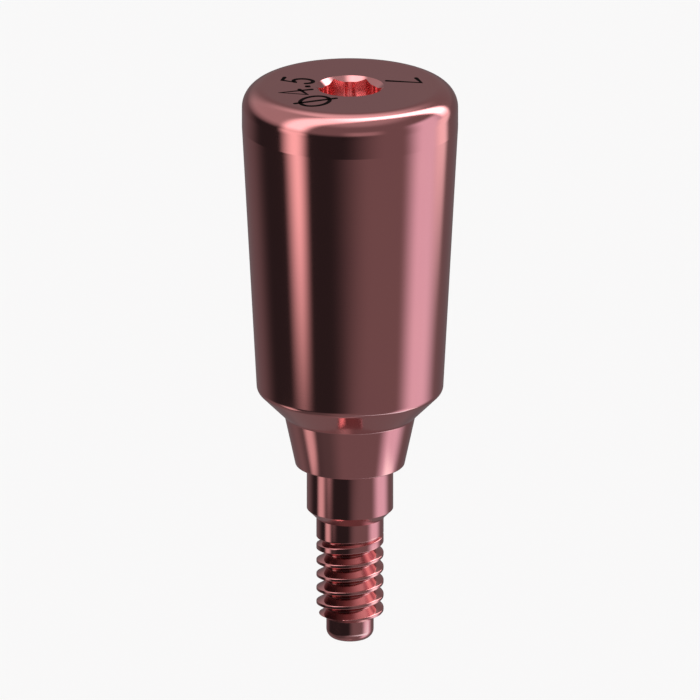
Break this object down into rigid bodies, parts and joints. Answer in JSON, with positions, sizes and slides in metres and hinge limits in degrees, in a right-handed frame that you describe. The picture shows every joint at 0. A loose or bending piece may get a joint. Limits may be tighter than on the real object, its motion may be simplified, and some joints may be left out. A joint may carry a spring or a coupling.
{
  "type": "healing abutment",
  "caption": "Slim round healing abutment with a tapered head, conical seating collar, guide cylinder, V-threaded shank with plain pilot, and a countersunk hex driver socket on top.",
  "frame": {"origin": "on the axis, in the plane of the flat shoulder under the conical collar, where the guide cylinder starts", "axes": "+Z along the axis towards the head and its driver socket, the shank points to -Z; two corners of the hexagon lie on the X axis"},
  "size_m": [0.0044, 0.0044, 0.012],
  "materials": {
    "anodised_titanium": "pink anodised titanium alloy, smooth turned"
  },
  "bodies": {
    "root": {"healing_abutment": "anodised_titanium"}
  },
  "joints": []
}
